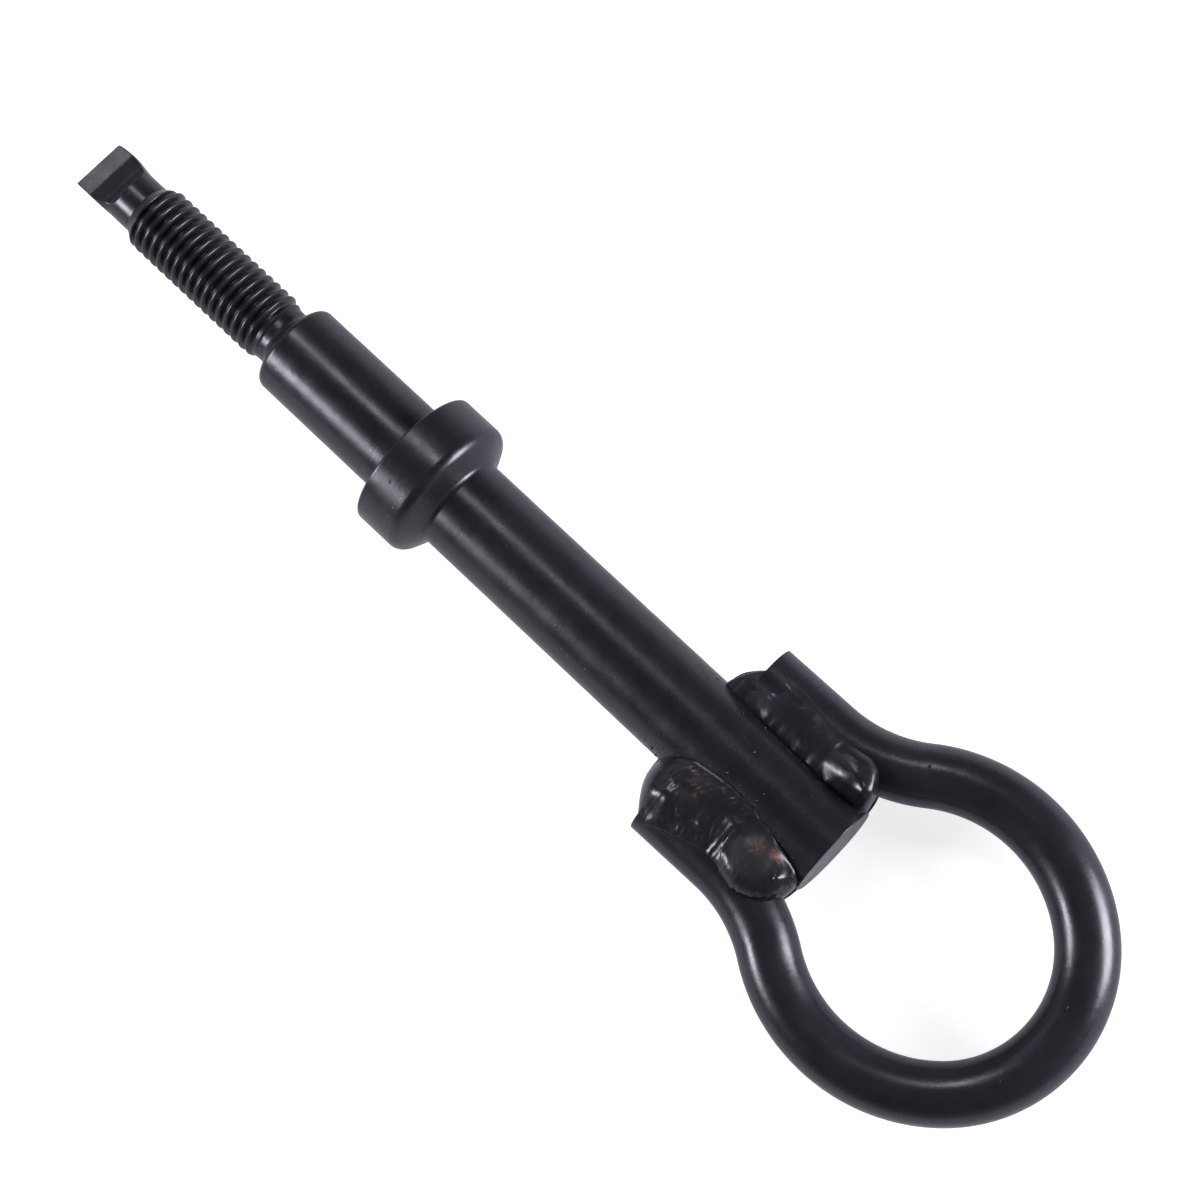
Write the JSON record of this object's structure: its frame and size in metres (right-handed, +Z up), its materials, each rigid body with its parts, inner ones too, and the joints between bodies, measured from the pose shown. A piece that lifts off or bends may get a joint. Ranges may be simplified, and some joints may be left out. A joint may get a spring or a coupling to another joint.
{
  "type": "tow eye",
  "caption": "Screw-in towing eye: a turned steel shank with a threaded end, a locating sleeve and a collar, welded between the legs of a bent round-bar ring, painted black.",
  "frame": {"origin": "centre of the collar's front face, on the shank's axis, where the locating sleeve ends", "axes": "+X along the shank towards the eye, the eye lies in the XY plane, +Z up out of the eye's plane; the thread points along -X"},
  "size_m": [0.2134, 0.0561, 0.025],
  "materials": {
    "black_paint": "semi-gloss black paint",
    "weld_paint": "semi-gloss black paint over rippled weld, with a small rust spot"
  },
  "bodies": {
    "root": {"threaded_shank": "black_paint", "eye_loop": "black_paint", "weld_top_left": "weld_paint", "weld_top_right": "weld_paint", "weld_under_left": "weld_paint", "weld_under_right": "weld_paint"}
  },
  "joints": []
}
